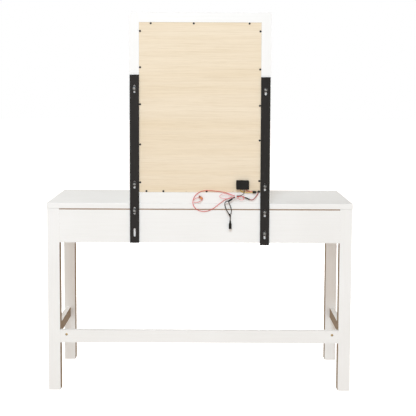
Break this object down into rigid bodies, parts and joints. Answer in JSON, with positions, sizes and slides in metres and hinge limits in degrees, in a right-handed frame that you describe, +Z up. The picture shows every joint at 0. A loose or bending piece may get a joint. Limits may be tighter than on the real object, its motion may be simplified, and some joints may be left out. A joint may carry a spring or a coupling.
{
  "type": "vanity table with mirror",
  "caption": "Vanity table on square legs with drawers, and a standing framed mirror with globe lamps, held at the back by slotted steel bars.",
  "frame": {"origin": "on the floor, at the centre of the table's box seen from above, the loose wires left out", "axes": "+Z up, the front with the drawers faces -Y, +X is to the right of a person who sits at the table"},
  "size_m": [1.2, 0.5326, 1.49],
  "materials": {
    "white_paint": "satin white paint on board",
    "bare_wood": "unpainted pine",
    "drawer_board": "white melamine on particle board",
    "glide_plastic": "moulded nylon",
    "zinc_steel": "bright zinc plate",
    "yellow_zinc": "yellow zinc plate, in shadow",
    "knob_metal": "satin nickel",
    "mirror_silver": "silvered float glass",
    "backing_ply": "pale wood-grain foil on thin board",
    "dark_screw": "black phosphate",
    "white_plastic": "moulded white plastic",
    "frosted_globe": "opal polycarbonate",
    "black_steel": "black powder coat",
    "black_plastic": "moulded black plastic",
    "circuit_board": "green solder mask",
    "red_insulation": "red PVC insulation",
    "pink_insulation": "faded red PVC insulation",
    "black_insulation": "black PVC insulation",
    "yellow_insulation": "yellow PVC insulation"
  },
  "bodies": {
    "desk": {"tabletop": "white_paint", "leg_front_left": "white_paint", "leg_front_right": "white_paint", "leg_rear_left": "white_paint", "leg_rear_right": "white_paint", "foot_glides": "glide_plastic", "rear_apron": "white_paint", "side_aprons": "white_paint", "slide_battens": "bare_wood", "front_top_rail": "white_paint", "front_bottom_rail": "white_paint", "centre_divider": "white_paint", "rear_stretcher": "white_paint", "side_stretchers": "white_paint", "frame_bolts": "zinc_steel", "barrel_nuts": "yellow_zinc", "corner_brackets": "zinc_steel", "slide_cabinet_rails": "zinc_steel", "mirror_stile_left": "white_paint", "mirror_stile_right": "white_paint", "mirror_top_rail": "white_paint", "mirror_bottom_rail": "white_paint", "mirror_glass": "mirror_silver", "glass_clips": "zinc_steel", "backing_panel": "backing_ply", "panel_screws": "dark_screw", "lamp_sockets": "white_plastic", "lamp_globes": "frosted_globe", "support_bar_left": "black_steel", "support_bar_right": "black_steel", "bar_screws": "dark_screw", "bar_washers": "dark_screw", "controller_base": "black_plastic", "controller_board": "circuit_board", "controller_lid": "black_plastic", "cable_tie": "white_plastic", "wire_connectors": "black_plastic", "wire_sleeves": "black_plastic", "dc_socket": "black_plastic", "wire_loop": "red_insulation", "wire_curl": "red_insulation", "wire_small_loop": "pink_insulation", "lead_black": "black_insulation", "lead_thin": "black_insulation", "wire_bundle": "red_insulation", "wire_black": "black_insulation", "wire_yellow": "yellow_insulation", "wire_red": "red_insulation"},
    "drawer_left": {"drawer_front_left": "white_paint", "drawer_box_left": "drawer_board", "drawer_bottom_left": "drawer_board", "drawer_knob_left": "knob_metal", "slide_drawer_rails_left": "zinc_steel"},
    "drawer_right": {"drawer_front_right": "white_paint", "drawer_box_right": "drawer_board", "drawer_bottom_right": "drawer_board", "drawer_knob_right": "knob_metal", "slide_drawer_rails_right": "zinc_steel"},
    "slides_left": {"slide_mid_rails_left": "zinc_steel"},
    "slides_right": {"slide_mid_rails_right": "zinc_steel"}
  },
  "joints": [
    {"name": "drawer_left_slide", "type": "slide", "parent": "desk", "child": "drawer_left", "axis": [0, -1, 0], "range_m": [0, 0.38]},
    {"name": "slides_left_run", "type": "slide", "parent": "desk", "child": "slides_left", "axis": [0, -1, 0], "range_m": [0, 0.19]},
    {"name": "drawer_right_slide", "type": "slide", "parent": "desk", "child": "drawer_right", "axis": [0, -1, 0], "range_m": [0, 0.38]},
    {"name": "slides_right_run", "type": "slide", "parent": "desk", "child": "slides_right", "axis": [0, -1, 0], "range_m": [0, 0.19]}
  ],
  "couplings": [
    {"joint": "slides_left_run", "follows": "drawer_left_slide", "ratio": 0.5},
    {"joint": "slides_right_run", "follows": "drawer_right_slide", "ratio": 0.5}
  ]
}
